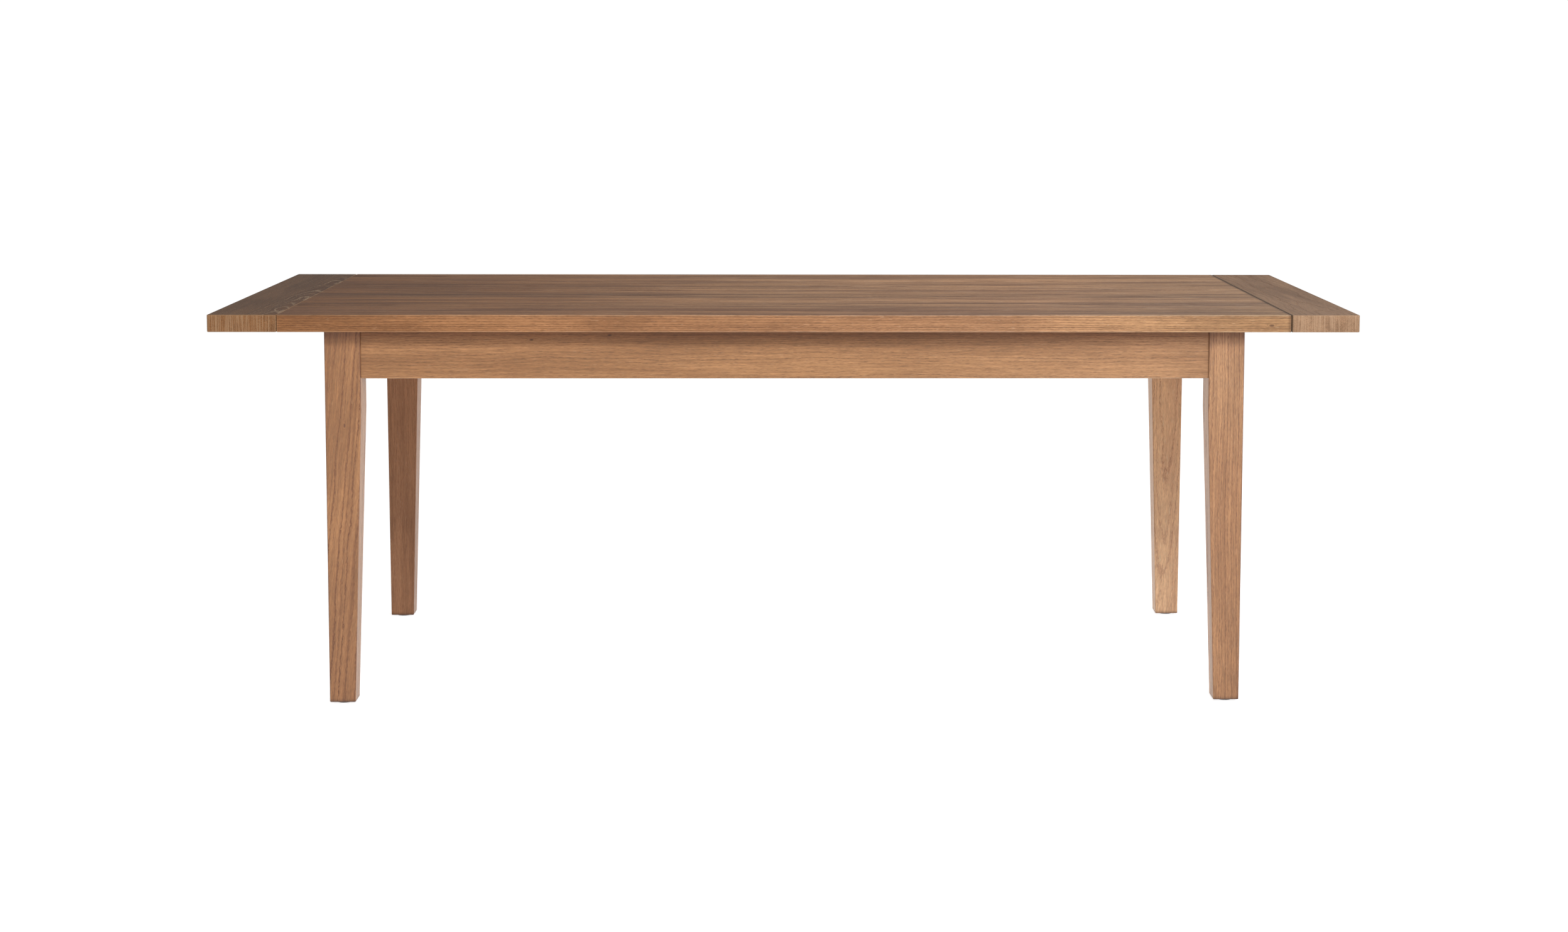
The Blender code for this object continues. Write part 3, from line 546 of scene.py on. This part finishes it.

# Painted light and shade on each leg, at its foot, at a place below the apron and at one behind the apron:
# each leg is made lighter or darker, and changes with height, as the light falls on it. The back right
# leg's tints are low and its shade is high, because its foot is painted paler than one tint can make it
LEG_TONE_HEIGHTS = (0.0, 0.450, 0.620)
LEG_PAINTED_LIGHT = {
    "front_left": ((0.76, 0.69, 0.62), (0.96, 0.91, 0.82), (0.92, 0.86, 0.75)),
    "front_right": ((0.92, 0.91, 0.88), (1.0, 0.99, 0.95), (0.97, 1.0, 0.99)),
    "back_left": ((0.73, 0.70, 0.77), (0.97, 0.92, 1.0), (0.98, 0.92, 1.0)),
    "back_right": ((0.685, 0.80, 1.0), (0.555, 0.565, 0.58), (0.545, 0.545, 0.55)),
}
LEG_CUTS = {
    "front_left": dict({"Ring Width": 0.0078}, pith=(-0.800, -0.340), tilt=(-0.110, 0.016), shade=0.95,
                       Dashes=0.9, Pores=0.8, Early=0.38, Rings=0.95, Wander=0.022, Streaks=1.2,
                       knots=(((-0.8500, -0.432, 0.546), 0.0014),)),
    "front_right": dict({"Ring Width": 0.0048}, pith=(0.800, -0.390), tilt=(0.014, 0.012), shade=0.97,
                        Rings=0.85, Dashes=1.3, Pores=0.9),
    "back_left": dict(pith=(-0.760, 0.440), tilt=(0.004, 0.004), shade=0.98, Rings=0.30, Dashes=0.4,
                      Pores=0.45, specular=0.28),
    "back_right": dict(pith=(0.850, 0.330), tilt=(-0.016, 0.010), shade=2.40, Rings=0.50),
}
LEG_LOOKS = {"Ring Width": 0.0052, "Streaks": 0.9, "Line": (0.165, 0.061, 0.026),
             "Pore": (0.130, 0.050, 0.024), "specular": 0.5, "wear": 0.0, "grime": 0.75}

APRON_CUTS = {
    "front": dict(grain="X", radial="Y", pith=(0.560, -0.300), tilt=(0.006, 0.010),
                  knots=(((-0.490, -0.428, 0.712), 0.0013), ((-0.340, -0.428, 0.721), 0.0015))),
    "back": dict(grain="X", radial="Y", pith=(0.600, 0.330), tilt=(-0.006, 0.006)),
    "left": dict(grain="Y", radial="X", pith=(0.640, -0.960), tilt=(0.010, 0.004)),
    "right": dict(grain="Y", radial="X", pith=(0.720, 0.980), tilt=(-0.008, 0.006)),
}
APRON_LOOKS = dict(shade=1.01, Rings=0.60, Streaks=0.9, Dashes=1.0,
                   tones=(("X", APRON_PAINTED_LIGHT), ("Z", UNDER_TOP_PAINTED_SHADE)))

LEAF_CUTS = {
    "upper": dict(pith=(0.05, 0.600), tilt=(0.010, 0.008)),
    "lower": dict(pith=(-0.06, 0.560), tilt=(-0.012, 0.006)),
}


def dress_top():
    box = joint_box(PLANKS)
    for number, (node, cut) in enumerate(zip(PLANKS, PLANK_CUTS)):
        looks = dict(PLANK_LOOKS, **cut)
        looks["shade"] *= TOP_SHADE
        paint(node, wood_material(f"top_oak_{number + 1}", OAK, seed_of("top", number), grain="X",
                                  box=box, **looks))


def dress_end_boards():
    for number, (side, cut) in enumerate(END_CUTS.items()):
        node = f"end_board_{side}"
        paint(node, wood_material(f"end_oak_{side}", OAK, seed_of("end", number), grain="Y", radial="Z",
                                  box=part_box(node), specular=0.12, **cut))


def dress_legs():
    for number, (place, cut) in enumerate(LEG_CUTS.items()):
        node = f"leg_{place}"
        height_tones = tuple(zip(LEG_TONE_HEIGHTS, LEG_PAINTED_LIGHT[place]))
        tones = (("Z", height_tones), ("Z", UNDER_TOP_PAINTED_SHADE), ("Z", FOOT_PAINTED_SHADOW))
        paint(node, wood_material(f"leg_oak_{place}", OAK, seed_of("leg", number), grain="Z", radial="Y",
                                  box=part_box(node), tones=tones, **dict(LEG_LOOKS, **cut)))


def dress_aprons():
    for number, (side, cut) in enumerate(APRON_CUTS.items()):
        node = f"apron_{side}"
        paint(node, wood_material(f"apron_oak_{side}", OAK, seed_of("apron", number), box=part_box(node),
                                  **APRON_LOOKS, **cut))


def dress_leaves():
    for number, (level, cut) in enumerate(LEAF_CUTS.items()):
        node = f"leaf_{level}"
        paint(node, wood_material(f"leaf_oak_{level}", OAK, seed_of("leaf", number), grain="X",
                                  radial="Z", box=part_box(node), **cut))


def dress_beech():
    along_x = wood_material("beech_along", BEECH, seed_of("beech", 0), "X", "Z", (0.02, 0.50))
    across = wood_material("beech_across", BEECH, seed_of("beech", 1), "Y", "Z", (0.02, 0.50))
    dowel = wood_material("beech_dowel", BEECH, seed_of("beech", 2), "X", "Z", (0.0, 0.70), shade=1.08)
    for face in FACES:
        paint(f"slide_rail_{face}", along_x)
        for station in STATIONS:
            paint(f"top_button_{face}_{station}", across)
    for place in PLACES:
        face, side = place.split("_")
        paint(f"corner_brace_{place}", along_x)
        paint(f"top_dowel_{side}_{face}", dowel)
        paint(f"end_dowel_{side}_{face}", dowel)


def dress_fittings():
    coat = coated_material("black_powder_coat", pale=(0.050, 0.049, 0.048), dark=(0.022, 0.022, 0.024),
                           roughness=0.42, grain_size=0.0007, bump=0.30)
    nylon = coated_material("black_nylon", pale=(0.046, 0.042, 0.038), dark=(0.020, 0.018, 0.017),
                            roughness=0.50, grain_size=0.0004, bump=0.20)
    zinc = metal_material("zinc_plate", pale=(0.66, 0.65, 0.60), dark=(0.50, 0.51, 0.50),
                          roughness=0.34, brush_scale=(300.0, 300.0, 2400.0), bump=0.15)
    for place in PLACES:
        face, side = place.split("_")
        paint(f"foot_glide_{place}", nylon)
        paint(f"leg_bolt_{place}", zinc)
        paint(f"runner_{side}_{face}", coat)
        paint(f"runner_cap_{side}_{face}", nylon)
        paint(f"stop_pin_{side}_{face}", zinc)


# ---------------------------------------------------------------- screws

# Pan heads with a cross recess. Profile: share of the radius, share of the height
SCREW_RADIUS = 0.0042
SCREW_HEIGHT = 0.0022
SCREW_PROFILE = ((1.0, 0.0), (1.0, 0.35), (0.95, 0.62), (0.84, 0.82), (0.64, 0.95), (0.45, 1.0),
                 (0.28, 1.0), (0.12, 1.0))
SCREW_SEGMENTS = 24
RECESS_REACH = 0.70
RECESS_HALF_WIDTH = 0.13
RECESS_FLOOR = 0.35

# Where the screws sit, and how far each is turned, in radians
RUNNER_SCREWS = ((0.990, 0.5), (1.050, 1.5))
RAIL_SCREW_X = (-0.800, -0.420, 0.0, 0.420, 0.800)
RAIL_SCREW_Y = 0.213
RAIL_SCREW_TURN = 0.7
BUTTON_SCREW_INSET = 0.014
BUTTON_SCREW_TURN = 0.4
SHARP_ANGLE = math.radians(35)
DOWN = (0.0, 0.0, -1.0)


def screw_mesh(name, matrix):
    """A pan head that stands on its flat side, moved by a matrix."""
    shape = bmesh.new()
    rings = []
    for radius_share, height_share in SCREW_PROFILE:
        ring = []
        for step in range(SCREW_SEGMENTS):
            angle = 2 * math.pi * step / SCREW_SEGMENTS
            x = radius_share * math.cos(angle)
            y = radius_share * math.sin(angle)
            in_cross = min(abs(x), abs(y)) < RECESS_HALF_WIDTH and radius_share < RECESS_REACH
            z = RECESS_FLOOR if in_cross else height_share
            ring.append(shape.verts.new((x * SCREW_RADIUS, y * SCREW_RADIUS, z * SCREW_HEIGHT)))
        rings.append(ring)
    for outer, inner in zip(rings, rings[1:]):
        for step in range(SCREW_SEGMENTS):
            after = (step + 1) % SCREW_SEGMENTS
            shape.faces.new((outer[step], outer[after], inner[after], inner[step]))
    shape.faces.new(rings[-1])
    shape.faces.new(rings[0][::-1])
    bmesh.ops.transform(shape, matrix=matrix, verts=shape.verts)
    mesh = bpy.data.meshes.new(name)
    shape.to_mesh(mesh)
    shape.free()
    mesh.shade_smooth()
    mesh.set_sharp_from_angle(angle=SHARP_ANGLE)
    return mesh


def screw_head(name, place, turn, body):
    """A screw's head that hangs from a surface at place and rides on a body."""
    facing = Vector(DOWN).to_track_quat("Z", "Y").to_matrix().to_4x4()
    turned = Matrix.Translation(place) @ facing @ Matrix.Rotation(turn, 4, "Z")
    mesh = screw_mesh(name, turned)
    mesh.materials.append(bpy.data.materials["zinc_plate"])
    screw = bpy.data.objects.new(name, mesh)
    bpy.context.scene.collection.objects.link(screw)
    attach(screw, body)


def add_button_screws(face, sy):
    for station in STATIONS:
        low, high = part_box(f"top_button_{face}_{station}")
        inner_y = high[1] if face == "front" else low[1]
        place = ((low[0] + high[0]) / 2, inner_y + sy * BUTTON_SCREW_INSET, low[2])
        screw_head(f"screw_button_{face}_{station}", place, BUTTON_SCREW_TURN * place[0], "frame")


def add_rail_screws(face, sy):
    rail_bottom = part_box(f"slide_rail_{face}")[0][2]
    for number, x in enumerate(RAIL_SCREW_X):
        place = (x, sy * RAIL_SCREW_Y, rail_bottom)
        screw_head(f"screw_rail_{face}_{number + 1}", place, RAIL_SCREW_TURN * number, "frame")


def add_runner_screws(face, side, sx):
    low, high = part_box(f"runner_{side}_{face}")
    for number, (x, turn) in enumerate(RUNNER_SCREWS):
        place = (sx * x, (low[1] + high[1]) / 2, low[2])
        screw_head(f"screw_runner_{side}_{face}_{number + 1}", place, turn, f"end_{side}")


def add_screws():
    for face, sy in FACES.items():
        add_button_screws(face, sy)
        add_rail_screws(face, sy)
        for side, sx in SIDES.items():
            add_runner_screws(face, side, sx)


# ---------------------------------------------------------------- studio

FLOOR_REACH = 30.0
FLOOR_GREYS = ((0.80, 0.80, 0.80, 1.0), (0.83, 0.83, 0.83, 1.0))
FLOOR_MOTTLE = (3.0, 3.0, 3.0)
# The floor's own light: how bright it looks, how much more it shows in glossy wood, and in which colour
FLOOR_GLOW = 0.72
FLOOR_SHEEN = 1.0
SHEEN_COLOUR = (1.0, 0.93, 0.86, 1.0)
# The even light all round, and how bright the backdrop itself looks
WORLD_LIGHT = 0.36
BACKDROP = 1.05
WHITE = (1.0, 1.0, 1.0, 1.0)

# Name, place, target, size, power in watts, colour
SOFT_LIGHTS = (
    ("key", (3.4, -3.8, 2.1), (0.4, 0.0, 0.50), (1.5, 1.0), 92.0, (1.0, 1.08, 1.20)),
    ("front", (0.4, -4.4, 3.2), (0.0, 0.0, 0.60), (2.4, 0.8), 134.0, (1.0, 1.01, 1.00)),
    ("fill", (-2.8, -4.0, 1.6), (0.0, 0.0, 0.5), (1.6, 1.2), 13.0, (1.0, 0.95, 0.86)),
    ("overhead", (1.1, 0.6, 2.3), (0.9, 0.3, 0.7), (1.2, 1.0), 13.0, (1.0, 1.03, 1.08)),
)


def make_floor():
    """A pale floor that looks evenly lit but adds no light of its own to dull surfaces."""
    shape = bmesh.new()
    bmesh.ops.create_grid(shape, x_segments=8, y_segments=8, size=FLOOR_REACH)
    mesh = bpy.data.meshes.new("studio_floor")
    shape.to_mesh(mesh)
    shape.free()
    floor = bpy.data.objects.new("studio_floor", mesh)
    bpy.context.scene.collection.objects.link(floor)
    material, g = new_material("studio_floor")
    shader = material.node_tree.nodes["Principled BSDF"]
    point = g.node("TexCoord").outputs["Object"]
    mottle = g.noise(point, FLOOR_MOTTLE, detail=3.0)
    g.plug(shader.inputs["Base Color"], g.mix(mottle, *FLOOR_GREYS))
    shader.inputs["Roughness"].default_value = 0.9
    shader.inputs["Specular IOR Level"].default_value = 0.1
    ray = g.node("LightPath").outputs
    seen = g.ramp(ray["Is Diffuse Ray"], 0.0, 1.0, FLOOR_GLOW, 0.0)
    glow = g.mix(ray["Is Glossy Ray"], WHITE, SHEEN_COLOUR)
    g.plug(shader.inputs["Emission Color"], glow)
    g.plug(shader.inputs["Emission Strength"], g.add(seen, g.multiply(ray["Is Glossy Ray"], FLOOR_SHEEN)))
    mesh.materials.append(material)


def make_world():
    """Even pale light all round, with a white backdrop."""
    world = bpy.data.worlds.new("studio")
    world.use_nodes = True
    bpy.context.scene.world = world
    g = Graph(world.node_tree)
    seen = g.node("LightPath").outputs["Is Camera Ray"]
    background = world.node_tree.nodes["Background"]
    background.inputs["Color"].default_value = WHITE
    g.plug(background.inputs["Strength"], g.ramp(seen, 0.0, 1.0, WORLD_LIGHT, BACKDROP))


def make_soft_light(name, place, target, size, power, colour):
    """A rectangular area light that faces its target."""
    data = bpy.data.lights.new(name, "AREA")
    data.shape = "RECTANGLE"
    data.size, data.size_y = size
    data.energy = power
    data.color = colour
    light = bpy.data.objects.new(name, data)
    bpy.context.scene.collection.objects.link(light)
    light.location = place
    light.rotation_euler = (Vector(target) - Vector(place)).to_track_quat("-Z", "Y").to_euler()


def make_camera():
    """The camera stands in front of the table and looks a little down on it."""
    data = bpy.data.cameras.new("camera")
    data.sensor_width = SENSOR_WIDTH
    data.lens = FOCAL_LENGTH
    data.shift_x, data.shift_y = CAMERA_SHIFT
    camera = bpy.data.objects.new("camera", data)
    bpy.context.scene.collection.objects.link(camera)
    turn = (Matrix.Rotation(CAMERA_YAW, 4, "Z") @ Matrix.Rotation(math.radians(90) + CAMERA_PITCH, 4, "X")
            @ Matrix.Rotation(CAMERA_ROLL, 4, "Z"))
    camera.matrix_world = Matrix.Translation(CAMERA_PLACE) @ turn
    bpy.context.scene.camera = camera


def make_studio():
    make_floor()
    make_world()
    for light in SOFT_LIGHTS:
        make_soft_light(*light)
    make_camera()
    bpy.context.scene.view_settings.view_transform = "Standard"


dress_top()
dress_end_boards()
dress_legs()
dress_aprons()
dress_leaves()
dress_beech()
dress_fittings()
add_screws()
make_studio()
